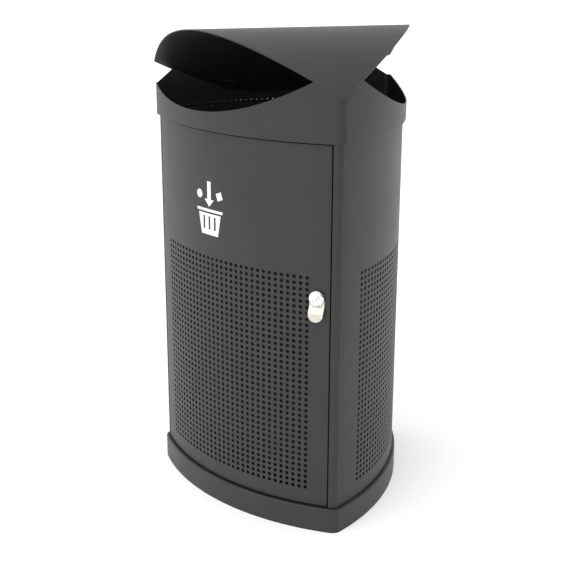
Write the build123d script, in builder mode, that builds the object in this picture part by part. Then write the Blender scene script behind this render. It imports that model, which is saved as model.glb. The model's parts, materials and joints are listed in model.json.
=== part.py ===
from build123d import *
import os
from math import cos, degrees, radians, sin, sqrt

# Three-sided litter bin in folded sheet steel, in millimetres, +Z up.
# The plan is a triangle of constant width: each wall is an arc about the opposite corner.
# The origin is the centre of the plan at ground level. One corner points to -Y (front),
# the wall from the front corner to the left corner is the door.

# ---- driving dimensions -------------------------------------------------
WIDTH = 472.0            # constant width of the body = radius of each wall
DOOR_SHEET = 1.5         # door and panels
FRAME_SHEET = 2.0        # posts, plinth, collar, roof
CORNER_RADIUS = 13.0     # outside radius of the body corners

PLINTH_HEIGHT = 48.0     # base ring
PLINTH_PROUD = 6.0       # base ring and collar stand this far outside the walls
PLINTH_EDGE = 3.0        # rounded upper edge of the base ring
BASE_THICKNESS = 3.0     # floor plate
ANCHOR_HOLE = 13.0       # ground anchor holes in the floor plate
ANCHOR_REACH = 120.0     # from the centre to each anchor hole

WALL_TOP = 731.0         # top of the fixed walls and posts, which stand on the base ring
DOOR_LIFT = 2.0          # door above the base ring
DOOR_DROP = 3.0          # top of the door below the top of the walls
COLLAR_EDGE = 4.0        # rounded lower edge inside the collar
COLLAR_SKIRT = 3.6       # collar below its seat, round the tops of the walls
SKIRT_CLEARANCE = 0.3    # between the skirt and the walls
SKIRT_EDGE = 1.5         # rounded lower edge of the skirt
FRAME_DEPTH = 30.0       # top frame and base ring, from the wall face inwards
FRAME_HEIGHT = 32.0

ROOF_RIDGE_Y = -58.0
ROOF_RISE = 171.0        # ridge above the foot of the collar
ROOF_REAR_RISE = 20.0    # rear edge of the roof above the foot of the collar
ROOF_OVERHANG = 6.5      # roof edge outside the walls
MOUTH_RADIUS = 530.0     # curved lower edge of each mouth
MOUTH_SILL = 29.0        # its lowest point above the foot of the collar
MOUTH_ALONG = 304.0      # lowest point, from the front corner along the wall's chord
NOTCH_LENGTH = 32.0      # rim between a rear corner and the roof, along the rear wall
NOTCH_RISE = 22.0        # what it rises over that length

POST_WRAP = 15.0         # post face each side of its corner, at a fixed panel
PANEL_GAP = 0.3
LAP = 25.0               # strip of the post behind a fixed panel
DOOR_GAP = 2.0           # between post and free edge of the door
LATCH_WRAP = 13.5        # post face at the latch side of the door
HINGE_WRAP = 12.5        # post face at the hinge side of the door
RETURN_DEPTH = 10.0      # folded edges of the door, upright
FLANGE_DEPTH = 12.0      # folded edges of the door, top and bottom
LIP_DEPTH = 14.0         # stop lip that the cam closes behind
LIP_REACH = 24.0         # its free edge, from the front corner

HINGE_ALONG = 25.0       # hinge axis from the left corner
HINGE_DEPTH = 5.0        # and behind the wall face
HINGE_HEEL = 9.0         # door beyond the hinge axis
PIN_RADIUS = 3.0
PIN_CLEARANCE = 0.08
PIN_ENGAGE = 6.0         # pin beyond the door flange
BRACKET_THICKNESS = 4.0
BRACKET_LENGTH = 26.0
RUNNING_GAP = 0.3        # between faces that pass each other

LOCK_ALONG = 39.0        # lock axis from the front corner
LOCK_HEIGHT = 457.0
LOCK_HEAD = 14.0         # radius
LOCK_HEAD_HEIGHT = 7.0
BARREL_RADIUS = 9.0
BARREL_DEPTH = 12.0
PLUG_RADIUS = 6.0
PLUG_CLEARANCE = 0.05
PLUG_PROUD = 0.8         # face of the plug beyond the head
GROOVE_WIDTH = 1.3       # round the plug, in the head
GROOVE_DEPTH = 2.5
NUT_WALL = 3.5           # lock nut, from its bore to its flats
CAM_CLEARANCE = 1.4      # cam behind the stop lip, allowing for the lip's curve
CAM_LENGTH = 26.0        # axis to tip
CAM_WIDTH = 13.0
CAM_THICKNESS = 3.0
TAB_WIDTH = 27.5
TAB_SHEET = 1.5
TAB_CLEARANCE = 1.0      # first bend below the lock head
TAB_SLANT = 12.0         # height of the slanted part
TAB_REACH = 9.5          # what it stands off the door
TAB_LIP = 15.0           # height of the finger lip
TAB_LEAN = 2.0           # what the lip leans out
TAB_BEND = 3.0           # bend radius

LINER_INSET = 40.0       # outside of the liner from the wall face
LINER_SHEET = 1.2
LINER_DROP = 41.0        # top of the liner below the top of the walls
LINER_CORNER = 34.0
LINER_RIM = 6.0

SCREW_RADIUS = 3.0       # collar fixings, M6
SCREW_INSET = 21.0       # from the wall face
SCREW_STATIONS = (14.0, 46.0)   # degrees round each wall

RAIL_HEIGHT = 12.0       # rail that holds the bag, inside the rear of the collar
RAIL_HOLE = 1.8          # its row of vent holes goes through the collar as well
RAIL_HOLE_LEVEL = 6.5    # above the foot of the collar
RAIL_PITCH = 11.5
RAIL_END = 50.0          # from a rear corner

SYMBOL_ALONG = 274.0     # middle of the litter symbol, from the front corner
SYMBOL_HEIGHT = 586.0
SYMBOL_THICKNESS = 0.3
STIFFENER_HEIGHT = 26.0
STIFFENER_Z = 503.0
STIFFENER_DEPTH = 8.0

# ---- worked-out places ----------------------------------------------------
REACH = WIDTH / sqrt(3)
FRONT = (0.0, -REACH)
LEFT = (-WIDTH / 2, REACH / 2)
RIGHT = (WIDTH / 2, REACH / 2)
ARC_LENGTH = radians(60) * WIDTH
PLINTH_CORNER = CORNER_RADIUS + PLINTH_PROUD    # base ring and collar
DOOR_BOTTOM = PLINTH_HEIGHT + DOOR_LIFT
DOOR_TOP = WALL_TOP - DOOR_DROP
COLLAR_BOTTOM = WALL_TOP + FRAME_SHEET          # on the flange of the top frame
MOUTH_LOW = COLLAR_BOTTOM + MOUTH_SILL
LINER_TOP = WALL_TOP - LINER_DROP
MODEL_TOP = COLLAR_BOTTOM + ROOF_RISE

# bent roof sheet: the circle through its ridge and its rear edge
ROOF_HALF = WIDTH - REACH + ROOF_OVERHANG - ROOF_RIDGE_Y
ROOF_SAG = ROOF_RISE - ROOF_REAR_RISE
ROOF_RADIUS = (ROOF_HALF ** 2 + ROOF_SAG ** 2) / (2 * ROOF_SAG)
ROOF_AXIS = (ROOF_RIDGE_Y, MODEL_TOP - ROOF_RADIUS)

# each wall: its centre, the bearing of its first corner, and the way it runs
WALLS = {
    "door": (RIGHT, 240.0, -1),    # front corner to left corner
    "side": (LEFT, -60.0, 1),      # front corner to right corner
    "rear": (FRONT, 120.0, -1),    # left corner to right corner
}


def bearing(wall, along):
    """Bearing of the point that lies this far along a wall from its first corner."""
    centre, first, way = WALLS[wall]
    return first + way * degrees(along / WIDTH)


def place(wall, along, outset=0.0):
    """Plan point along a wall, this far outside its face."""
    centre = WALLS[wall][0]
    angle = radians(bearing(wall, along))
    return (centre[0] + (WIDTH + outset) * cos(angle),
            centre[1] + (WIDTH + outset) * sin(angle))


def outline(outset, corner=0.0):
    """Plan of the bin grown by outset, with rounded corners."""
    with BuildSketch(mode=Mode.PRIVATE) as plan:
        with Locations(FRONT):
            Circle(WIDTH + outset)
        for opposite in (LEFT, RIGHT):
            with Locations(opposite):
                Circle(WIDTH + outset, mode=Mode.INTERSECT)
        if corner:
            fillet(plan.vertices(), corner)
    return plan.sketch


def strip(wall, start, end, outer, inner):
    """Plan strip that follows a wall between two stations and two outsets."""
    centre = WALLS[wall][0]
    first = bearing(wall, start)
    sweep_angle = bearing(wall, end) - first
    with BuildSketch(mode=Mode.PRIVATE) as plan:
        with BuildLine():
            outside = CenterArc(centre, WIDTH + outer, first, sweep_angle)
            inside = CenterArc(centre, WIDTH + inner, first, sweep_angle)
            Line(outside @ 0, inside @ 0)
            Line(outside @ 1, inside @ 1)
        make_face()
    return plan.sketch


def wall_plane(wall, along, height, outset=0.0):
    """Plane on a wall's face: Z outwards, Y up."""
    angle = radians(bearing(wall, along))
    x, y = place(wall, along, outset)
    return Plane(origin=(x, y, height), x_dir=(-sin(angle), cos(angle), 0),
                 z_dir=(cos(angle), sin(angle), 0))


def finish(part, label):
    """Name a finished piece and write its file."""
    part.label = label
    export_step(part, f"parts/{label}.step")


os.makedirs("parts", exist_ok=True)
door_start = LATCH_WRAP + DOOR_GAP
door_end = ARC_LENGTH - HINGE_ALONG + HINGE_HEEL
hinge_station = ARC_LENGTH - HINGE_ALONG
hinge_point = place("door", hinge_station, -HINGE_DEPTH)
screw_points = [place(wall, radians(station) * WIDTH, -SCREW_INSET)
                for wall in WALLS for station in SCREW_STATIONS]

# ---- plinth ------------------------------------------------------------------
ring_inner = PLINTH_PROUD - FRAME_SHEET
frame_inner_corner = CORNER_RADIUS + FRAME_DEPTH * 0.5

with BuildPart() as base_ring:
    with BuildSketch():
        add(outline(PLINTH_PROUD, PLINTH_CORNER))
    extrude(amount=PLINTH_HEIGHT)
    fillet(base_ring.edges().group_by(Axis.Z)[-1], PLINTH_EDGE)
    with BuildSketch():
        add(outline(ring_inner, PLINTH_CORNER - FRAME_SHEET))
    extrude(amount=PLINTH_HEIGHT - FRAME_SHEET, mode=Mode.SUBTRACT)
    with BuildSketch(Plane.XY.offset(PLINTH_HEIGHT)):
        add(outline(-FRAME_DEPTH, frame_inner_corner))
        with Locations(hinge_point):
            Circle(PIN_RADIUS + PIN_CLEARANCE)
    extrude(amount=-FRAME_SHEET, mode=Mode.SUBTRACT)
finish(base_ring.part, "base_ring")

with BuildPart() as base_plate:
    with BuildSketch():
        add(outline(ring_inner, PLINTH_CORNER - FRAME_SHEET))
        with PolarLocations(ANCHOR_REACH, 3, start_angle=30):
            Circle(ANCHOR_HOLE / 2, mode=Mode.SUBTRACT)
    extrude(amount=BASE_THICKNESS)
finish(base_plate.part, "base_plate")

# ---- corner posts --------------------------------------------------------------
post_height = WALL_TOP - PLINTH_HEIGHT


def post_profile(corner, first, second):
    """Rounded corner strip whose faces reach the two given (wall, start, end) stations."""
    with BuildSketch(mode=Mode.PRIVATE) as window:
        with Locations(corner):
            Circle(CORNER_RADIUS * 0.75)
        for wall, start, end in (first, second):
            add(strip(wall, start, end, FRAME_SHEET, -1.5 * FRAME_SHEET))
    with BuildSketch(mode=Mode.PRIVATE) as plan:
        add(outline(0, CORNER_RADIUS))
        add(outline(-FRAME_SHEET, CORNER_RADIUS - FRAME_SHEET), mode=Mode.SUBTRACT)
        add(window.sketch, mode=Mode.INTERSECT)
    return plan.sketch


def lap_strip(wall, corner_station, inwards):
    """Strip that backs a fixed panel's edge; inwards is +1 or -1 along the wall."""
    start = corner_station + inwards * CORNER_RADIUS * 0.85
    end = corner_station + inwards * (POST_WRAP + LAP)
    return strip(wall, start, end, -DOOR_SHEET, -DOOR_SHEET - FRAME_SHEET)


with BuildPart() as post_front:
    with BuildSketch(Plane.XY.offset(PLINTH_HEIGHT)):
        add(post_profile(FRONT, ("door", 0, LATCH_WRAP), ("side", 0, POST_WRAP)))
        add(lap_strip("side", 0, 1))
        add(strip("door", LATCH_WRAP - FRAME_SHEET, LATCH_WRAP, 0, -LIP_DEPTH))
        add(strip("door", LATCH_WRAP - FRAME_SHEET, LIP_REACH, -LIP_DEPTH + FRAME_SHEET, -LIP_DEPTH))
    extrude(amount=post_height)
finish(post_front.part, "post_front")

with BuildPart() as post_left:
    with BuildSketch(Plane.XY.offset(PLINTH_HEIGHT)):
        add(post_profile(LEFT, ("door", ARC_LENGTH - HINGE_WRAP, ARC_LENGTH), ("rear", 0, POST_WRAP)))
        add(lap_strip("rear", 0, 1))
        add(strip("door", ARC_LENGTH - HINGE_WRAP, ARC_LENGTH - HINGE_WRAP + FRAME_SHEET,
                  0, -LIP_DEPTH - BRACKET_THICKNESS))
    extrude(amount=post_height)
finish(post_left.part, "post_left")

with BuildPart() as post_right:
    with BuildSketch(Plane.XY.offset(PLINTH_HEIGHT)):
        add(post_profile(RIGHT, ("side", ARC_LENGTH - POST_WRAP, ARC_LENGTH),
                         ("rear", ARC_LENGTH - POST_WRAP, ARC_LENGTH)))
        add(lap_strip("side", ARC_LENGTH, -1))
        add(lap_strip("rear", ARC_LENGTH, -1))
    extrude(amount=post_height)
finish(post_right.part, "post_right")

# ---- fixed panels -----------------------------------------------------------------
for wall in ("side", "rear"):
    with BuildPart() as panel:
        with BuildSketch(Plane.XY.offset(PLINTH_HEIGHT)):
            add(strip(wall, POST_WRAP + PANEL_GAP, ARC_LENGTH - POST_WRAP - PANEL_GAP, 0, -DOOR_SHEET))
        extrude(amount=post_height)
    finish(panel.part, f"{wall}_panel")

# ---- top frame ----------------------------------------------------------------------
with BuildPart() as top_frame:
    with BuildSketch(Plane.XY.offset(COLLAR_BOTTOM - FRAME_HEIGHT)):
        add(outline(-FRAME_DEPTH + FRAME_SHEET, frame_inner_corner + FRAME_SHEET))
        add(outline(-FRAME_DEPTH, frame_inner_corner), mode=Mode.SUBTRACT)
    extrude(amount=FRAME_HEIGHT)
    with BuildSketch(Plane.XY.offset(WALL_TOP)):
        add(outline(-DOOR_SHEET, CORNER_RADIUS - DOOR_SHEET))
        add(outline(-FRAME_DEPTH, frame_inner_corner), mode=Mode.SUBTRACT)
        with Locations(*screw_points):
            Circle(SCREW_RADIUS + PIN_CLEARANCE, mode=Mode.SUBTRACT)
        with Locations(hinge_point):
            Circle(PIN_RADIUS + PIN_CLEARANCE, mode=Mode.SUBTRACT)
    extrude(amount=COLLAR_BOTTOM - WALL_TOP)
finish(top_frame.part, "top_frame")

# ---- collar with the two mouths ------------------------------------------------------
roof_inner = ROOF_RADIUS - FRAME_SHEET


def mouth_plane(wall):
    """Upright plane on a wall's chord: X from the front corner, Y up, Z outwards."""
    end = LEFT if wall == "door" else RIGHT
    along = Vector(end[0] - FRONT[0], end[1] - FRONT[1], 0).normalized()
    outwards = Vector(0, 0, 1).cross(along) * WALLS[wall][2] * -1
    return Plane(origin=(FRONT[0], FRONT[1], 0), x_dir=along, z_dir=outwards)


def rail_planes():
    """One plane for each hole of the bag rail, on the rear wall's face."""
    count = int((ARC_LENGTH - 2 * RAIL_END - RAIL_PITCH) / RAIL_PITCH)
    for index in range(count):
        along = ARC_LENGTH / 2 + (index - (count - 1) / 2) * RAIL_PITCH
        yield wall_plane("rear", along, COLLAR_BOTTOM + RAIL_HOLE_LEVEL)


with BuildPart() as collar:
    with BuildSketch(Plane.XY.offset(COLLAR_BOTTOM - COLLAR_SKIRT)):
        add(outline(PLINTH_PROUD, PLINTH_CORNER))
    extrude(amount=MODEL_TOP - COLLAR_BOTTOM + COLLAR_SKIRT)
    fillet(collar.edges().group_by(Axis.Z)[0], SKIRT_EDGE)
    with BuildSketch(Plane.XY.offset(COLLAR_BOTTOM - COLLAR_SKIRT)):
        add(outline(SKIRT_CLEARANCE, CORNER_RADIUS + SKIRT_CLEARANCE))
    extrude(amount=COLLAR_SKIRT, mode=Mode.SUBTRACT)
    with BuildPart(mode=Mode.SUBTRACT) as hollow:
        with BuildSketch(Plane.XY.offset(COLLAR_BOTTOM + FRAME_SHEET)):
            add(outline(ring_inner, PLINTH_CORNER - FRAME_SHEET))
        extrude(amount=MODEL_TOP - COLLAR_BOTTOM)
        fillet(hollow.edges().group_by(Axis.Z)[0], COLLAR_EDGE - FRAME_SHEET)
    with BuildSketch(Plane.XY.offset(COLLAR_BOTTOM)):
        add(outline(-FRAME_DEPTH, frame_inner_corner))
        with Locations(*screw_points):
            Circle(SCREW_RADIUS + PIN_CLEARANCE)
    extrude(amount=FRAME_SHEET, mode=Mode.SUBTRACT)
    with BuildSketch(Plane.YZ):
        with Locations(ROOF_AXIS):
            Circle(roof_inner)
    extrude(amount=WIDTH, both=True, mode=Mode.INTERSECT)
    for wall in ("door", "side"):
        facing = mouth_plane(wall)
        height = MOUTH_LOW + MOUTH_RADIUS
        with BuildSketch(facing):
            with Locations((MOUTH_ALONG, height * facing.y_dir.Z)):
                Circle(MOUTH_RADIUS)
        extrude(amount=WIDTH / 4, mode=Mode.SUBTRACT)
    # the rim runs on round each rear corner, and rises in a straight line to the roof
    corner_rim = MOUTH_LOW + MOUTH_RADIUS - sqrt(MOUTH_RADIUS ** 2 - (WIDTH - MOUTH_ALONG) ** 2)
    with BuildSketch(Plane.XZ.offset(-REACH / 2)):
        for side in (-1, 1):
            notch_end = side * (WIDTH / 2 - NOTCH_LENGTH)
            with BuildLine():
                Polyline((side * WIDTH, corner_rim), (side * WIDTH / 2, corner_rim),
                         (notch_end, corner_rim + NOTCH_RISE), (notch_end, MODEL_TOP),
                         (side * WIDTH, MODEL_TOP), close=True)
            make_face()
    extrude(amount=-WIDTH / 4, mode=Mode.SUBTRACT)
    for hole in rail_planes():
        with BuildSketch(hole):
            Circle(RAIL_HOLE / 2)
        extrude(amount=2 * PLINTH_PROUD, both=True, mode=Mode.SUBTRACT)
finish(collar.part, "collar")

# ---- roof -------------------------------------------------------------------------------
with BuildPart() as roof:
    with BuildSketch(Plane.YZ):
        with Locations(ROOF_AXIS):
            Circle(ROOF_RADIUS)
            Circle(roof_inner, mode=Mode.SUBTRACT)
    extrude(amount=WIDTH, both=True)
    with BuildSketch(Plane.XY.offset(COLLAR_BOTTOM)):
        add(outline(ROOF_OVERHANG))
    extrude(amount=MODEL_TOP, mode=Mode.INTERSECT)
finish(roof.part, "roof")

# tongues that tie the roof to the collar, two on the rear wall and one at the front
TONGUE_LENGTH = 25.0
TONGUE_STATION = 150.0
TONGUE_DEPTH = 12.0
TONGUES = {
    "front": ("side", -CORNER_RADIUS, CORNER_RADIUS),
    "left": ("rear", TONGUE_STATION, TONGUE_STATION + TONGUE_LENGTH),
    "right": ("rear", ARC_LENGTH - TONGUE_STATION - TONGUE_LENGTH, ARC_LENGTH - TONGUE_STATION),
}
for corner, (wall, start, end) in TONGUES.items():
    with BuildPart() as roof_bracket:
        with BuildSketch(Plane.YZ):
            with Locations(ROOF_AXIS):
                Circle(roof_inner)
        extrude(amount=WIDTH, both=True)
        with BuildSketch(Plane.YZ):
            with Locations(ROOF_AXIS):
                Circle(roof_inner - FRAME_SHEET)
        extrude(amount=WIDTH, both=True, mode=Mode.SUBTRACT)
        with BuildSketch(Plane.XY.offset(COLLAR_BOTTOM)):
            add(outline(ring_inner, PLINTH_CORNER - FRAME_SHEET))
            add(strip(wall, start, end, ring_inner, ring_inner - TONGUE_DEPTH), mode=Mode.INTERSECT)
        extrude(amount=MODEL_TOP, mode=Mode.INTERSECT)
    finish(roof_bracket.part, f"roof_bracket_{corner}")

# ---- rail that holds the bag ------------------------------------------------------------
with BuildPart() as bag_rail:
    with BuildSketch(Plane.XY.offset(COLLAR_BOTTOM + FRAME_SHEET + COLLAR_EDGE / 2)):
        add(strip("rear", RAIL_END, ARC_LENGTH - RAIL_END, ring_inner, ring_inner - DOOR_SHEET))
    extrude(amount=RAIL_HEIGHT)
    for hole in rail_planes():
        with BuildSketch(hole):
            Circle(RAIL_HOLE / 2)
        extrude(amount=2 * PLINTH_PROUD, both=True, mode=Mode.SUBTRACT)
finish(bag_rail.part, "bag_rail")

# ---- collar screws and nuts ----------------------------------------------------------------
with BuildPart() as collar_screws:
    with BuildSketch(Plane.XY.offset(COLLAR_BOTTOM + FRAME_SHEET)):
        with Locations(*screw_points):
            Circle(SCREW_RADIUS * 1.75)
    extrude(amount=SCREW_RADIUS)
    fillet(collar_screws.edges().group_by(Axis.Z)[-1], SCREW_RADIUS * 0.5)
    with BuildSketch(Plane.XY.offset(COLLAR_BOTTOM + FRAME_SHEET)):
        with Locations(*screw_points):
            Circle(SCREW_RADIUS)
    extrude(amount=-(FRAME_SHEET + COLLAR_BOTTOM - WALL_TOP + 3 * SCREW_RADIUS))
finish(collar_screws.part, "collar_screws")

with BuildPart() as collar_nuts:
    with BuildSketch(Plane.XY.offset(WALL_TOP)):
        with Locations(*screw_points):
            RegularPolygon(SCREW_RADIUS * 1.67, 6, major_radius=False)
            Circle(SCREW_RADIUS + PLUG_CLEARANCE, mode=Mode.SUBTRACT)
    extrude(amount=-SCREW_RADIUS * 1.7)
finish(collar_nuts.part, "collar_nuts")

# ---- hinge brackets, pins and washers ------------------------------------------------------
bracket_start = ARC_LENGTH - HINGE_WRAP - BRACKET_LENGTH
bracket_end = ARC_LENGTH - HINGE_WRAP
lower_bracket_top = PLINTH_HEIGHT - FRAME_SHEET
lower_bracket_bottom = lower_bracket_top - BRACKET_THICKNESS
upper_bracket_bottom = DOOR_TOP + 2 * RUNNING_GAP


def hinge_bracket(bottom, top, label):
    """Flat plate with the hinge pin's hole, against the base ring or the top frame."""
    with BuildPart() as bracket:
        with BuildSketch(Plane.XY.offset(bottom)):
            add(strip("door", bracket_start, bracket_end, -DOOR_SHEET, -LIP_DEPTH - 2))
            with Locations(hinge_point):
                Circle(PIN_RADIUS + PLUG_CLEARANCE, mode=Mode.SUBTRACT)
        extrude(amount=top - bottom)
    finish(bracket.part, label)


def hinge_pin(bottom, top, label):
    """Plain pin on the hinge axis with a chamfered end each way."""
    with BuildPart() as pin:
        with BuildSketch(Plane.XY.offset(bottom)):
            with Locations(hinge_point):
                Circle(PIN_RADIUS)
        extrude(amount=top - bottom)
        chamfer(pin.edges().filter_by(GeomType.CIRCLE), PIN_RADIUS * 0.15)
    finish(pin.part, label)


hinge_bracket(lower_bracket_bottom, lower_bracket_top, "hinge_bracket_lower")
hinge_bracket(upper_bracket_bottom, WALL_TOP, "hinge_bracket_upper")
hinge_pin(lower_bracket_bottom, DOOR_BOTTOM + DOOR_SHEET + PIN_ENGAGE, "hinge_pin_lower")
hinge_pin(DOOR_TOP - DOOR_SHEET - PIN_ENGAGE, COLLAR_BOTTOM, "hinge_pin_upper")

with BuildPart() as hinge_washer:
    with BuildSketch(Plane.XY.offset(PLINTH_HEIGHT)):
        with Locations(hinge_point):
            Circle(PIN_RADIUS * 2)
            Circle(PIN_RADIUS + PIN_CLEARANCE, mode=Mode.SUBTRACT)
    extrude(amount=DOOR_BOTTOM - RUNNING_GAP - PLINTH_HEIGHT)
finish(hinge_washer.part, "hinge_washer")

# ---- rubber buffers on the stop lip ------------------------------------------------------
BUFFER_HEIGHT = 20.0
BUFFER_LEVELS = (130.0, 390.0, 650.0)
with BuildPart() as door_buffers:
    for level in BUFFER_LEVELS:
        with BuildSketch(Plane.XY.offset(level)):
            add(strip("door", LATCH_WRAP + 0.5, LIP_REACH - 1, -RETURN_DEPTH - RUNNING_GAP,
                      -LIP_DEPTH + FRAME_SHEET))
        extrude(amount=BUFFER_HEIGHT)
finish(door_buffers.part, "door_buffers")

# ---- door ----------------------------------------------------------------------------------
lock_face = wall_plane("door", LOCK_ALONG, LOCK_HEIGHT)

with BuildPart() as door:
    with BuildSketch(Plane.XY.offset(DOOR_BOTTOM)):
        add(strip("door", door_start, door_end, 0, -DOOR_SHEET))
        add(strip("door", door_start, door_start + DOOR_SHEET, 0, -RETURN_DEPTH))
        add(strip("door", door_end - DOOR_SHEET, door_end, 0, -RETURN_DEPTH))
    extrude(amount=DOOR_TOP - DOOR_BOTTOM)
    for level in (DOOR_BOTTOM, DOOR_TOP - DOOR_SHEET):
        with BuildSketch(Plane.XY.offset(level)):
            add(strip("door", door_start + DOOR_SHEET + RETURN_DEPTH, door_end, 0, -FLANGE_DEPTH))
            with Locations(hinge_point):
                Circle(PIN_RADIUS + PIN_CLEARANCE, mode=Mode.SUBTRACT)
        extrude(amount=DOOR_SHEET)
    with BuildSketch(lock_face):
        Circle(BARREL_RADIUS + PLUG_CLEARANCE)
    extrude(amount=2 * DOOR_SHEET, both=True, mode=Mode.SUBTRACT)
finish(door.part, "door_skin")

with BuildPart() as door_stiffener:
    with BuildSketch(Plane.XY.offset(STIFFENER_Z)):
        add(strip("door", 2 * LOCK_ALONG, door_end - 2 * HINGE_ALONG, -DOOR_SHEET, -STIFFENER_DEPTH))
    extrude(amount=STIFFENER_HEIGHT)
    with BuildSketch(Plane.XY.offset(STIFFENER_Z + DOOR_SHEET)):
        add(strip("door", 2 * LOCK_ALONG - 1, door_end - 2 * HINGE_ALONG + 1,
                  -DOOR_SHEET, -STIFFENER_DEPTH + DOOR_SHEET))
    extrude(amount=STIFFENER_HEIGHT - 2 * DOOR_SHEET, mode=Mode.SUBTRACT)
finish(door_stiffener.part, "door_stiffener")

# ---- litter symbol: an arrow and scraps over an open basket -----------------------------
symbol_face = wall_plane("door", SYMBOL_ALONG, SYMBOL_HEIGHT)
BASKET_TOP = 62.0
BASKET_FOOT = 46.0
BASKET_TALL = 40.0
BASKET_LINE = 5.0
ARROW_WIDTH = 26.0

with BuildPart() as litter_symbol:
    with BuildSketch(symbol_face):
        with Locations((0, -30)):
            Trapezoid(BASKET_TOP, BASKET_TALL, 78.7, rotation=180)
        with Locations((0, -30 + BASKET_LINE / 2)):
            with GridLocations(3 * BASKET_LINE, 0, 3, 1):
                Rectangle(BASKET_LINE, BASKET_TALL - 3 * BASKET_LINE, mode=Mode.SUBTRACT)
        with Locations((0, -4)):
            Rectangle(BASKET_TOP + 2 * BASKET_LINE, BASKET_LINE)
        with Locations((0, 33)):
            Rectangle(ARROW_WIDTH * 0.38, 34)
        with Locations((0, 12)):
            Triangle(a=ARROW_WIDTH, b=ARROW_WIDTH * 0.72, c=ARROW_WIDTH * 0.72, rotation=180)
        with Locations((-28, 24)):
            Circle(8)
        with Locations((28, 26)):
            Rectangle(14, 14, rotation=20)
    extrude(amount=WIDTH / 40, both=True)
    with BuildSketch(Plane.XY.offset(SYMBOL_HEIGHT - 60)):
        add(strip("door", SYMBOL_ALONG - 60, SYMBOL_ALONG + 60, SYMBOL_THICKNESS, 0))
    extrude(amount=120, mode=Mode.INTERSECT)
finish(litter_symbol.part, "litter_symbol")

# ---- lock and pull tab -----------------------------------------------------------------------
nut_corner = (BARREL_RADIUS + NUT_WALL) / cos(radians(30))
skin_hollow = nut_corner ** 2 / (2 * (WIDTH - DOOR_SHEET))
nut_start = DOOR_SHEET + skin_hollow + PLUG_CLEARANCE
nut_thickness = 5.0
barrel_front = TAB_SHEET + LOCK_HEAD_HEIGHT
plug_front = barrel_front + PLUG_PROUD
cam_top = -(LIP_DEPTH + CAM_CLEARANCE)

with BuildPart() as lock_barrel:
    with BuildSketch(lock_face.offset(TAB_SHEET)):
        Circle(LOCK_HEAD)
    extrude(amount=LOCK_HEAD_HEIGHT)
    rim = lock_barrel.edges().filter_by(GeomType.CIRCLE)
    fillet(rim.sort_by_distance(lock_face.offset(2 * barrel_front).origin)[:1], LOCK_HEAD_HEIGHT * 0.45)
    with BuildSketch(lock_face.offset(TAB_SHEET)):
        Circle(BARREL_RADIUS)
    extrude(amount=-(TAB_SHEET + BARREL_DEPTH))
    with BuildSketch(lock_face.offset(barrel_front)):
        Circle(PLUG_RADIUS + PLUG_CLEARANCE)
    extrude(amount=-(barrel_front + BARREL_DEPTH), mode=Mode.SUBTRACT)
    with BuildSketch(lock_face.offset(barrel_front)):
        Circle(PLUG_RADIUS + GROOVE_WIDTH)
    extrude(amount=-GROOVE_DEPTH, mode=Mode.SUBTRACT)
finish(lock_barrel.part, "lock_barrel")

with BuildPart() as lock_nut:
    with BuildSketch(lock_face.offset(-nut_start)):
        RegularPolygon(BARREL_RADIUS + NUT_WALL, 6, major_radius=False)
        Circle(BARREL_RADIUS + PLUG_CLEARANCE, mode=Mode.SUBTRACT)
    extrude(amount=-nut_thickness)
finish(lock_nut.part, "lock_nut")

KEYWAY = (2.2, 8.0, 7.0)
STUB_RADIUS = 4.0
with BuildPart() as lock_plug:
    with BuildSketch(lock_face.offset(plug_front)):
        Circle(PLUG_RADIUS)
    extrude(amount=-(plug_front - cam_top))
    rims = lock_plug.edges().filter_by(GeomType.CIRCLE)
    fillet(rims.sort_by_distance(lock_face.offset(2 * plug_front).origin)[:1], PLUG_PROUD)
    with BuildSketch(lock_face.offset(cam_top)):
        Circle(STUB_RADIUS)
    extrude(amount=-CAM_THICKNESS)
    with BuildSketch(lock_face.offset(plug_front)):
        Rectangle(KEYWAY[0], KEYWAY[1])
        Circle(KEYWAY[0])
    extrude(amount=-KEYWAY[2], mode=Mode.SUBTRACT)
finish(lock_plug.part, "lock_plug")

cam_reach = CAM_LENGTH - CAM_WIDTH / 2
with BuildPart() as lock_cam:
    with BuildSketch(lock_face.offset(cam_top)):
        with Locations((0, -cam_reach / 2)):
            SlotCenterToCenter(cam_reach, CAM_WIDTH, rotation=90)
        Circle(STUB_RADIUS + PLUG_CLEARANCE, mode=Mode.SUBTRACT)
    extrude(amount=-CAM_THICKNESS)
finish(lock_cam.part, "lock_cam")

with BuildPart() as cam_screw:
    with BuildSketch(lock_face.offset(cam_top - CAM_THICKNESS)):
        RegularPolygon(STUB_RADIUS + 1.0, 6, major_radius=False)
    extrude(amount=-STUB_RADIUS)
finish(cam_screw.part, "cam_screw")

# the tab lies flat behind the head, slants out below it and ends in a lip for the fingers
tab_side = Plane(origin=lock_face.origin, x_dir=lock_face.z_dir, z_dir=-lock_face.x_dir)
up = tab_side.y_dir.Z
slant_start = -(LOCK_HEAD + TAB_CLEARANCE)
lip_start = slant_start - TAB_SLANT
lip_end = lip_start - TAB_LIP
slot_length = -lip_end - TAB_WIDTH / 2      # between the centres of its round ends

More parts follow.
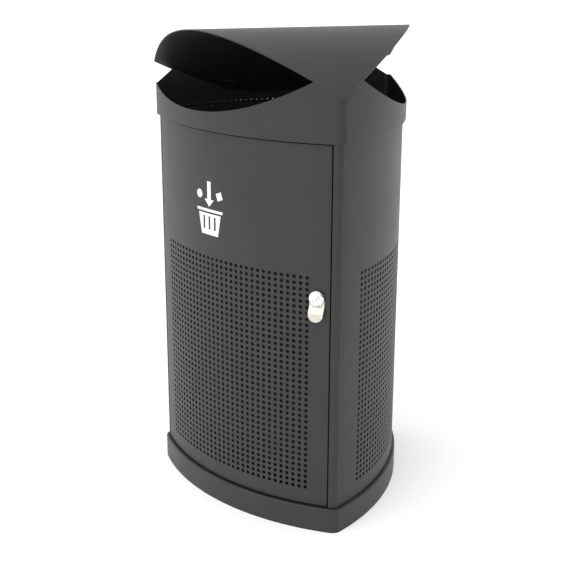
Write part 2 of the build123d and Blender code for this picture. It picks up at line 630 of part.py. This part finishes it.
with BuildPart() as pull_tab:
    with BuildSketch(tab_side):
        with BuildLine():
            path = FilletPolyline((0.0, TAB_WIDTH * up), (0.0, slant_start * up), (TAB_REACH, lip_start * up),
                                  (TAB_REACH + TAB_LEAN, lip_end * up), radius=TAB_BEND)
            offset(path, TAB_SHEET, side=Side.RIGHT if up < 0 else Side.LEFT)
        make_face()
    extrude(amount=TAB_WIDTH, both=True)
    with BuildSketch(lock_face):
        with Locations((0, -slot_length / 2)):
            SlotCenterToCenter(slot_length, TAB_WIDTH, rotation=90)
    extrude(amount=2 * LOCK_HEAD, both=True, mode=Mode.INTERSECT)
    with BuildSketch(lock_face):
        Circle(BARREL_RADIUS + PLUG_CLEARANCE)
    extrude(amount=2 * LOCK_HEAD, both=True, mode=Mode.SUBTRACT)
finish(pull_tab.part, "pull_tab")

# ---- lift-out liner ----------------------------------------------------------------------------
HAND_HOLE = (90.0, 28.0)
with BuildPart() as liner:
    with BuildSketch(Plane.XY.offset(BASE_THICKNESS)):
        add(outline(-LINER_INSET, LINER_CORNER))
    extrude(amount=LINER_TOP - BASE_THICKNESS)
    with BuildSketch(Plane.XY.offset(LINER_TOP - 2 * LINER_SHEET)):
        add(outline(-LINER_INSET + LINER_RIM, LINER_CORNER + LINER_RIM))
    extrude(amount=2 * LINER_SHEET)
    with BuildSketch(Plane.XY.offset(BASE_THICKNESS + LINER_SHEET)):
        add(outline(-LINER_INSET - LINER_SHEET, LINER_CORNER - LINER_SHEET))
    extrude(amount=LINER_TOP, mode=Mode.SUBTRACT)
    for wall in ("door", "side"):
        with BuildSketch(wall_plane(wall, ARC_LENGTH / 2, LINER_TOP - 50, -LINER_INSET)):
            SlotOverall(*HAND_HOLE)
        extrude(amount=4 * LINER_SHEET, both=True, mode=Mode.SUBTRACT)
finish(liner.part, "liner")
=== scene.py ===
import json
from math import cos, pi, radians, sin, sqrt

import bpy
import numpy as np
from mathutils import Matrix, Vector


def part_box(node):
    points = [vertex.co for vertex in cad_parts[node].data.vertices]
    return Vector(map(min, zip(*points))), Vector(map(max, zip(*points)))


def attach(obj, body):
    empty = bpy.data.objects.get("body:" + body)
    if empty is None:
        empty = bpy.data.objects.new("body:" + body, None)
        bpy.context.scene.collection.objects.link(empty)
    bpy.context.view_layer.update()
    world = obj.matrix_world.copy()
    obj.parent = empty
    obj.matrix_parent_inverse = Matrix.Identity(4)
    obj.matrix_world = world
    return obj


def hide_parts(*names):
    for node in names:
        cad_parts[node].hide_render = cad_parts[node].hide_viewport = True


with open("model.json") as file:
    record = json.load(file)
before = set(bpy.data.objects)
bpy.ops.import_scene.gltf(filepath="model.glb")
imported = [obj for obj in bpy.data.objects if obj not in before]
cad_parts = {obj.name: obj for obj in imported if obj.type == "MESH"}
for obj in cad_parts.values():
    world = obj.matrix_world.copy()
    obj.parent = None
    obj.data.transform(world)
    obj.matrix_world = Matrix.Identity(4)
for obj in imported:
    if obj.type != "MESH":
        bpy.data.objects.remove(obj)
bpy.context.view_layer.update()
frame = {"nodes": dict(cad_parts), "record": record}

bl_info = {
    "name": "Three-sided litter bin",
    "version": (1, 0, 0),
    "blender": (4, 5, 0),
    "location": "View3D > Sidebar > Litter bin",
    "description": "Perforated skins, finishes and studio for the litter bin",
    "category": "Object",
}

# The plan is a triangle of constant width: each wall is an arc about the opposite corner.
WIDTH = 0.472
REACH = WIDTH / sqrt(3)
FRONT = (0.0, -REACH)
LEFT = (-WIDTH / 2, REACH / 2)
RIGHT = (WIDTH / 2, REACH / 2)
ARC_LENGTH = radians(60) * WIDTH
MM = 0.001

# where each punched sheet starts and ends along its wall, and its first column of holes
DOOR_SPAN = (15.5 * MM, ARC_LENGTH - 16 * MM)
DOOR_FIRST_COLUMN = 57.9 * MM
DOOR_COLUMNS = 31
PANEL_EDGE = 15.3 * MM
PANEL_FIRST_COLUMN = 66.9 * MM
PANEL_COLUMNS = 30

SHARP_FROM = radians(35)

# each wall: the corner it is drawn about, the bearing of its first corner, and the way it runs
WALLS = {
    "door": (RIGHT, radians(240), -1),
    "side": (LEFT, radians(-60), 1),
    "rear": (FRONT, radians(120), -1),
}


def on_wall(wall, along, height, outset):
    """Points at a distance along a wall's arc, a height, and an outset from its face:
    centre + (width + outset) * (cos b, sin b), where b turns by along / width."""
    (x, y), first, way = WALLS[wall]
    bearing = first + way * along / WIDTH
    reach = WIDTH + outset
    return np.stack([x + reach * np.cos(bearing), y + reach * np.sin(bearing), height], axis=-1)


# ---- meshes ---------------------------------------------------------------------------

def new_piece(name, points, faces, body, material):
    """Makes a mesh object at the origin, shaded smooth below SHARP_FROM, that rides on a body."""
    mesh = bpy.data.meshes.new(name)
    mesh.from_pydata(points, [], faces)
    mesh.validate()
    mesh.polygons.foreach_set("use_smooth", np.ones(len(mesh.polygons), bool))
    mesh.set_sharp_from_angle(angle=SHARP_FROM)
    mesh.materials.append(material)
    piece = bpy.data.objects.new(name, mesh)
    bpy.context.scene.collection.objects.link(piece)
    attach(piece, body)
    return piece


# the twelve rim points of one square cell, anticlockwise from its upper right corner
THIRD = (1 - np.tan(radians(15))) / 2
RIM = np.array([(1, 1), (1 - THIRD, 1), (THIRD, 1), (0, 1), (0, 1 - THIRD), (0, THIRD),
                (0, 0), (THIRD, 0), (1 - THIRD, 0), (1, 0), (1, THIRD), (1, 1 - THIRD)])
SPOKES = radians(45) + np.arange(12) * radians(30)


def punched_sheet(columns, rows, pierced, keep, hole_radius):
    """Flat punched sheet in (u, v). The grid lines cut it into cells with twelve rim points
    each. A pierced cell is a ring of twelve quads round a hole, centre + r (cos a, sin a);
    any other cell is one face. Returns the points, the quads and the plain faces."""
    left, right = columns[:-1], columns[1:]
    low, high = rows[:-1], rows[1:]
    corner = np.stack(np.meshgrid(left, low, indexing="ij"), -1)[:, :, None, :]
    size = np.stack(np.meshgrid(right - left, high - low, indexing="ij"), -1)[:, :, None, :]
    rims = corner + RIM * size
    flat = rims.reshape(-1, 2)
    _, first, index = np.unique(np.round(flat, 7), axis=0, return_index=True, return_inverse=True)
    points = flat[first]
    index = index.reshape(len(left), len(low), 12)
    centres = (corner + 0.5 * size)[pierced]
    holes = centres + hole_radius * np.stack([np.cos(SPOKES), np.sin(SPOKES)], -1)
    hole_index = len(points) + np.arange(holes.size // 2).reshape(-1, 12)
    rim_index = index[pierced]
    turn = np.roll(np.arange(12), -1)
    quads = np.stack([rim_index, rim_index[:, turn], hole_index[:, turn], hole_index], -1).reshape(-1, 4)
    return np.concatenate([points, holes.reshape(-1, 2)]), quads, index[keep & ~pierced]


def close_sheet(outer, inner, quads, plain):
    """Joins two copies of a sheet into a closed plate: the outer faces, the inner ones turned
    round, and one quad along every edge that only one face uses."""
    count = len(outer)
    edges = np.concatenate([
        np.stack([face, np.roll(face, -1, axis=1)], -1).reshape(-1, 2) for face in (quads, plain)])
    code = edges[:, 0] * count + edges[:, 1]
    back = edges[:, 1] * count + edges[:, 0]
    rim = edges[~np.isin(code, back)]
    walls = np.stack([rim[:, 1], rim[:, 0], rim[:, 0] + count, rim[:, 1] + count], -1)
    faces = (quads.tolist() + (quads[:, ::-1] + count).tolist() + plain.tolist()
             + (plain[:, ::-1] + count).tolist() + walls.tolist())
    return np.concatenate([outer, inner]), faces


def fold(t, start, end, radius):
    """Carries a sheet coordinate round a folded edge at each end. Between start + r and
    end - r the sheet is flat; beyond, it turns through a quarter circle of radius r, and then
    runs straight inwards. Returns place, outset and the angle turned, signed by its end."""
    if radius == 0:
        return t, np.zeros_like(t), np.zeros_like(t)
    over = np.maximum(t - (end - radius), 0) - np.maximum(start + radius - t, 0)
    past = np.abs(over)
    angle = np.minimum(past / radius, pi / 2)
    straight = np.maximum(past - radius * pi / 2, 0)
    flat = np.clip(t, start + radius, end - radius)
    return flat + np.sign(over) * radius * np.sin(angle), \
        -radius * (1 - np.cos(angle)) - straight, np.sign(over) * angle


def perforated_skin(name, wall, span, heights, first_hole, holes, node, body, material,
                    fold_radius=0.0, return_depth=0.0):
    """Sheet that follows a wall, with a block of punched holes and, where fold_radius is set,
    four folded edges. The sheet is drawn flat, punched, folded and bent to the wall's arc."""
    sizes = bpy.context.scene.bin_sizes
    sheet, radius = sizes.sheet, sizes.hole_diameter / 2
    pitch_x, pitch_z = sizes.pitch_along, sizes.pitch_up
    count_x, count_z = holes
    block_start = first_hole[0] - pitch_x / 2
    block_end = block_start + count_x * pitch_x
    block_low = first_hole[1] - pitch_z / 2
    block_high = block_low + count_z * pitch_z
    start, end = span
    low, high = heights
    bend = fold_radius * pi / 2
    turned = fold_radius + np.linspace(0, -bend, 5)[::-1] if fold_radius else np.zeros(1)
    flange = np.array([-bend - return_depth + 2 * fold_radius]) if fold_radius else np.zeros(0)

    def lines(first, last, block_first, block_last, count, step):
        """Grid lines: folds, plain margins in even steps, and one cell for each hole."""
        inner = fold_radius
        before = np.linspace(first + inner, block_first,
                             max(2, 1 + round((block_first - first) / step)))
        block = np.linspace(block_first, block_last, count + 1)
        after = np.linspace(block_last, last - inner,
                            max(2, 1 + round((last - block_last) / step)))
        edges = np.concatenate([flange, turned])
        return np.unique(np.round(np.concatenate(
            [first + edges, before, block, after, last - edges]), 7))

    columns = lines(start, end, block_start, block_end, count_x, pitch_x)
    rows = lines(low, high, block_low, block_high, count_z, 1.0)
    middle_u = (columns[:-1] + columns[1:]) / 2
    middle_v = (rows[:-1] + rows[1:]) / 2
    inside_u = (middle_u > block_start) & (middle_u < block_end)
    inside_v = (middle_v > block_low) & (middle_v < block_high)
    pierced = inside_u[:, None] & inside_v[None, :]
    outside_u = (middle_u < start) | (middle_u > end)
    outside_v = (middle_v < low) | (middle_v > high)
    keep = ~(outside_u[:, None] & outside_v[None, :])
    flat, quads, plain = punched_sheet(columns, rows, pierced, keep, radius)

    along, outset_u, turn_u = fold(flat[:, 0], start, end, fold_radius)
    height, outset_v, turn_v = fold(flat[:, 1], low, high, fold_radius)
    outset = outset_u + outset_v
    normal = np.stack([np.sin(turn_u), np.sin(turn_v), np.cos(turn_u) * np.cos(turn_v)], -1)
    normal /= np.linalg.norm(normal, axis=1, keepdims=True)
    outer = on_wall(wall, along, height, outset)
    inner = on_wall(wall, along - sheet * normal[:, 0], height - sheet * normal[:, 1],
                    outset - sheet * normal[:, 2])
    if WALLS[wall][2] > 0:
        outer_faces = quads, plain
    else:
        outer_faces = quads[:, ::-1], plain[:, ::-1]
    points, faces = close_sheet(outer, inner, *outer_faces)
    used = np.unique(np.concatenate([np.array(face) for face in faces]))
    renumber = np.zeros(len(points), int)
    renumber[used] = np.arange(len(used))
    piece = new_piece(name, points[used].tolist(), [renumber[face].tolist() for face in faces],
                      body, material)
    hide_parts(node)
    return piece


# ---- finishes -------------------------------------------------------------------------

def linear(code):
    """Linear RGBA of an sRGB hex colour."""
    parts = np.array([int(code[i:i + 2], 16) for i in (1, 3, 5)]) / 255
    flat = np.where(parts <= 0.04045, parts / 12.92, ((parts + 0.055) / 1.055) ** 2.4)
    return (*flat, 1.0)


def per_mm(size):
    """Texture scale that gives a pattern this many millimetres across."""
    return 1000 / size


def node(tree, kind, inputs=None, **settings):
    """Adds a node, sets its settings, and sets or links each of its inputs."""
    made = tree.nodes.new(kind)
    for name, value in settings.items():
        setattr(made, name, value)
    for name, value in (inputs or {}).items():
        if isinstance(value, bpy.types.NodeSocket):
            tree.links.new(value, made.inputs[name])
        else:
            made.inputs[name].default_value = value
    return made


def new_material(name):
    """Empty material with its node tree and Object coordinates."""
    material = bpy.data.materials.new(name)
    material.use_nodes = True
    tree = material.node_tree
    tree.nodes.clear()
    coords = node(tree, "ShaderNodeTexCoord").outputs["Object"]
    return material, tree, coords


def close_material(tree, shader):
    """Links a shader to the material's output."""
    node(tree, "ShaderNodeOutputMaterial", {"Surface": shader.outputs["BSDF"]})


def two_tones(tree, coords, first, second, size, detail=3.0):
    """Colour that drifts between two tones over patches of a size in millimetres."""
    patches = node(tree, "ShaderNodeTexNoise", {"Vector": coords, "Scale": per_mm(size), "Detail": detail})
    ramp = node(tree, "ShaderNodeMapRange", {
        "Value": patches.outputs["Fac"], "From Min": 0.35, "From Max": 0.65})
    return node(tree, "ShaderNodeMix", {
        "Factor": ramp.outputs["Result"], 6: linear(first), 7: linear(second)}, data_type="RGBA").outputs[2]


def powder_coat(name, first, second, roughness):
    """Polyester powder coat, sprayed and oven cured: satin, with a soft orange peel about
    2 mm across and a fine grain that dulls the highlight."""
    material, tree, coords = new_material(name)
    peel = node(tree, "ShaderNodeTexNoise", {"Vector": coords, "Scale": per_mm(2.2), "Detail": 1.0})
    grain = node(tree, "ShaderNodeTexNoise", {"Vector": coords, "Scale": per_mm(0.7), "Detail": 2.0})
    cloud = node(tree, "ShaderNodeTexNoise", {"Vector": coords, "Scale": per_mm(90), "Detail": 4.0})
    rough = node(tree, "ShaderNodeMapRange", {
        "Value": cloud.outputs["Fac"], "To Min": roughness - 0.04, "To Max": roughness + 0.05})
    orange_peel = node(tree, "ShaderNodeBump", {
        "Height": peel.outputs["Fac"], "Strength": 0.25, "Distance": 0.03 * MM})
    bump = node(tree, "ShaderNodeBump", {
        "Height": grain.outputs["Fac"], "Strength": 0.35, "Distance": 0.02 * MM,
        "Normal": orange_peel.outputs["Normal"]})
    close_material(tree, node(tree, "ShaderNodeBsdfPrincipled", {
        "Base Color": two_tones(tree, coords, first, second, 45), "Roughness": rough.outputs["Result"],
        "IOR": 1.5, "Normal": bump.outputs["Normal"]}))
    return material


def plated_metal(name, first, second, roughness, grain_mm, stretch):
    """Plated or brushed metal: fine lines of the finishing, drawn out along one way, vary the
    roughness and raise a slight bump; the tone drifts over a few millimetres."""
    material, tree, coords = new_material(name)
    drawn = node(tree, "ShaderNodeMapping", {"Vector": coords, "Scale": stretch})
    lines = node(tree, "ShaderNodeTexNoise", {
        "Vector": drawn.outputs["Vector"], "Scale": per_mm(grain_mm), "Detail": 3.0})
    rough = node(tree, "ShaderNodeMapRange", {
        "Value": lines.outputs["Fac"], "To Min": roughness * 0.7, "To Max": roughness * 1.35})
    bump = node(tree, "ShaderNodeBump", {
        "Height": lines.outputs["Fac"], "Strength": 0.2, "Distance": 0.01 * MM})
    close_material(tree, node(tree, "ShaderNodeBsdfPrincipled", {
        "Base Color": two_tones(tree, coords, first, second, 8), "Metallic": 1.0,
        "Roughness": rough.outputs["Result"], "Normal": bump.outputs["Normal"]}))
    return material


def moulded(name, first, second, roughness, grain_mm, depth_mm):
    """Moulded or cut plastic and rubber: a fine stipple and a slow drift of tone."""
    material, tree, coords = new_material(name)
    stipple = node(tree, "ShaderNodeTexNoise", {"Vector": coords, "Scale": per_mm(grain_mm), "Detail": 2.0})
    bump = node(tree, "ShaderNodeBump", {
        "Height": stipple.outputs["Fac"], "Strength": 0.3, "Distance": depth_mm * MM})
    close_material(tree, node(tree, "ShaderNodeBsdfPrincipled", {
        "Base Color": two_tones(tree, coords, first, second, 12), "Roughness": roughness,
        "Normal": bump.outputs["Normal"]}))
    return material


def finish_of(slot):
    """The finish of a material slot, made when it is first asked for."""
    name, make, *values = FINISHES[slot]
    return bpy.data.materials.get(name) or make(name, *values)


FINISHES = {
    "powder_coat": ("powder coat, anthracite satin", powder_coat, "#212324", "#262829", 0.46),
    # Painted shade: the liner is coloured black matt so that it stands in for the shade inside the bin, where
    # little light reaches.
    "liner_coat": ("black liner coat, painted shade inside the bin", powder_coat, "#141516", "#1a1b1c", 0.55),
    "stainless": ("stainless steel, brushed", plated_metal, "#dad5cb", "#d0cbc0", 0.44, 0.5, (1, 1, 12)),
    "chrome": ("chrome plate, polished", plated_metal, "#f0f1f1", "#e6e8e8", 0.06, 1.5, (1, 1, 1)),
    "zinc": ("zinc plate, passivated", plated_metal, "#b9bcbe", "#a8a99f", 0.32, 0.8, (1, 1, 1)),
    "rubber": ("rubber, moulded", moulded, "#131313", "#1a1a1a", 0.7, 0.5, 0.02),
    "nylon": ("nylon, turned, black", moulded, "#18181a", "#1f1f21", 0.5, 0.8, 0.01),
    "vinyl": ("vinyl film, white", moulded, "#f2f3f2", "#e9eae9", 0.35, 1.2, 0.01),
}


# ---- values a user would change ---------------------------------------------------------

class BinSizes(bpy.types.PropertyGroup):
    """Sizes of the punched sheets."""
    sheet: bpy.props.FloatProperty(
        name="Sheet", description="Thickness of the door and panels", default=1.5 * MM, unit="LENGTH")
    hole_diameter: bpy.props.FloatProperty(
        name="Hole diameter", description="Diameter of each punched hole", default=7.0 * MM, unit="LENGTH")
    pitch_along: bpy.props.FloatProperty(
        name="Pitch along", description="Between hole centres along the wall", default=12.35 * MM, unit="LENGTH")
    pitch_up: bpy.props.FloatProperty(
        name="Pitch up", description="Between hole centres up the wall", default=11.0 * MM, unit="LENGTH")
    lowest_hole: bpy.props.FloatProperty(
        name="Lowest hole", description="Height of the lowest row", default=84.2 * MM, unit="LENGTH")
    rows: bpy.props.IntProperty(name="Rows", description="Rows of holes", default=38, min=1)
    fold_radius: bpy.props.FloatProperty(
        name="Fold radius", description="Outside radius of the door's folded edges",
        default=2.0 * MM, unit="LENGTH")
    return_depth: bpy.props.FloatProperty(
        name="Return depth", description="Depth of the door's folded edges", default=10.0 * MM, unit="LENGTH")


class BIN_OT_door_skin(bpy.types.Operator):
    """Perforated door with folded edges"""
    bl_idname = "bin.door_skin"
    bl_label = "Door skin"

    def execute(self, context):
        sizes = context.scene.bin_sizes
        low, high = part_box("door_skin")
        perforated_skin("door_skin_perforated", "door", DOOR_SPAN, (low.z, high.z),
                        (DOOR_FIRST_COLUMN, sizes.lowest_hole), (DOOR_COLUMNS, sizes.rows),
                        "door_skin", "door", finish_of("powder_coat"),
                        sizes.fold_radius, sizes.return_depth)
        return {"FINISHED"}


class BIN_OT_panels(bpy.types.Operator):
    """Perforated side and rear panels"""
    bl_idname = "bin.panels"
    bl_label = "Panels"

    def execute(self, context):
        sizes = context.scene.bin_sizes
        for wall in ("side", "rear"):
            low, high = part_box(f"{wall}_panel")
            perforated_skin(f"{wall}_panel_perforated", wall, (PANEL_EDGE, ARC_LENGTH - PANEL_EDGE),
                            (low.z, high.z), (PANEL_FIRST_COLUMN, sizes.lowest_hole),
                            (PANEL_COLUMNS, sizes.rows), f"{wall}_panel", "root",
                            finish_of("powder_coat"))
        return {"FINISHED"}


class BIN_OT_finishes(bpy.types.Operator):
    """Puts each CAD node's finish on it"""
    bl_idname = "bin.finishes"
    bl_label = "Finishes"

    def execute(self, context):
        for sub in frame["record"]["subparts"]:
            mesh = frame["nodes"][sub["node"]].data
            mesh.materials.clear()
            mesh.materials.append(finish_of(sub["material_slot"]))
        return {"FINISHED"}


def towards(bearing, elevation):
    """Unit vector towards a bearing and an elevation in degrees."""
    turn, lift = radians(bearing), radians(elevation)
    return cos(turn) * cos(lift), sin(turn) * cos(lift), sin(lift)


# what the surroundings hold: bearing, elevation, full within, gone beyond (degrees), brightness
ROOM = (
    ("dark room behind the camera", 275, -10, 25, 75, 0.15),
    ("grey wall on the right", 5, 0, 25, 52, 0.55),
    ("soft box over the camera", 240, 46, 14, 50, 2.2),
    ("window over the left shoulder", 200, 18, 8, 36, 1.6),
)
CAMERA = (-0.6015, -2.0228, 1.076)
CAMERA_TURN = (72.435, -0.132, -15.797)     # degrees
CAMERA_LENS = 71.53                         # mm, on a 36 mm sensor
CAMERA_SHIFT = (0.0009, -0.0009)
FLOOR_HALF = 60.0                           # m, so that its edge stays near the horizon
FLOOR_GLOW = 0.22


def surroundings():
    """White light all round, with soft darker and brighter places that the metal picks up."""
    world = bpy.data.worlds.new("studio")
    world.use_nodes = True
    tree = world.node_tree
    tree.nodes.clear()
    way = node(tree, "ShaderNodeTexCoord").outputs["Generated"]
    level = node(tree, "ShaderNodeValue")
    level.outputs["Value"].default_value = 1.0
    level = level.outputs["Value"]
    for label, bearing, elevation, full, gone, brightness in ROOM:
        near = node(tree, "ShaderNodeVectorMath", {0: way}, operation="DOT_PRODUCT", label=label)
        near.inputs[1].default_value = towards(bearing, elevation)
        level = node(tree, "ShaderNodeMath", {0: level, 1: node(tree, "ShaderNodeMapRange", {
            "Value": near.outputs["Value"], "From Min": cos(radians(gone)), "From Max": cos(radians(full)),
            "To Min": 1.0, "To Max": brightness}, interpolation_type="SMOOTHSTEP").outputs["Result"]},
            operation="MULTIPLY").outputs["Value"]
    background = node(tree, "ShaderNodeBackground", {"Color": linear("#ffffff"), "Strength": level})
    node(tree, "ShaderNodeOutputWorld", {"Surface": background.outputs["Background"]})
    return world


def studio_floor():
    """Pale matt floor, the same all over."""
    material, tree, _ = new_material("studio_floor")
    close_material(tree, node(tree, "ShaderNodeBsdfPrincipled", {
        "Base Color": linear("#f4f4f3"), "Roughness": 0.9,
        "Emission Color": linear("#ffffff"), "Emission Strength": FLOOR_GLOW}))
    return material


class BIN_OT_stage(bpy.types.Operator):
    """Pale floor, studio surroundings and the camera"""
    bl_idname = "bin.stage"
    bl_label = "Stage"

    def execute(self, context):
        scene = context.scene
        floor_mesh = bpy.data.meshes.new("floor")
        corners = ((-1, -1), (1, -1), (1, 1), (-1, 1))
        floor_mesh.from_pydata([(x * FLOOR_HALF, y * FLOOR_HALF, 0) for x, y in corners], [], [range(4)])
        floor = bpy.data.objects.new("floor", floor_mesh)
        scene.collection.objects.link(floor)
        floor_mesh.materials.append(studio_floor())
        scene.world = surroundings()
        scene.view_settings.view_transform = "Standard"

        lens = bpy.data.cameras.new("camera")
        lens.lens = CAMERA_LENS
        lens.sensor_width = 36.0
        lens.shift_x, lens.shift_y = CAMERA_SHIFT
        lens.dof.use_dof = False
        camera = bpy.data.objects.new("camera", lens)
        camera.location = CAMERA
        camera.rotation_euler = [radians(angle) for angle in CAMERA_TURN]
        scene.collection.objects.link(camera)
        scene.camera = camera
        return {"FINISHED"}


class BIN_PT_panel(bpy.types.Panel):
    """Lists the bin's steps and sizes."""
    bl_label = "Litter bin"
    bl_idname = "BIN_PT_panel"
    bl_space_type = "VIEW_3D"
    bl_region_type = "UI"
    bl_category = "Litter bin"

    def draw(self, context):
        for step in OPERATORS:
            self.layout.operator(step.bl_idname)
        for name in BinSizes.__annotations__:
            self.layout.prop(context.scene.bin_sizes, name)


OPERATORS = (BIN_OT_finishes, BIN_OT_door_skin, BIN_OT_panels, BIN_OT_stage)
CLASSES = (BinSizes, *OPERATORS, BIN_PT_panel)


def register():
    """Registers the classes and the scene's sizes."""
    for made in CLASSES:
        bpy.utils.register_class(made)
    bpy.types.Scene.bin_sizes = bpy.props.PointerProperty(type=BinSizes)


def unregister():
    """Takes them away again."""
    del bpy.types.Scene.bin_sizes
    for made in reversed(CLASSES):
        bpy.utils.unregister_class(made)


def main():
    """Runs every step in order."""
    register()
    bpy.ops.bin.finishes()
    bpy.ops.bin.door_skin()
    bpy.ops.bin.panels()
    bpy.ops.bin.stage()


if __name__ == "__main__":
    main()
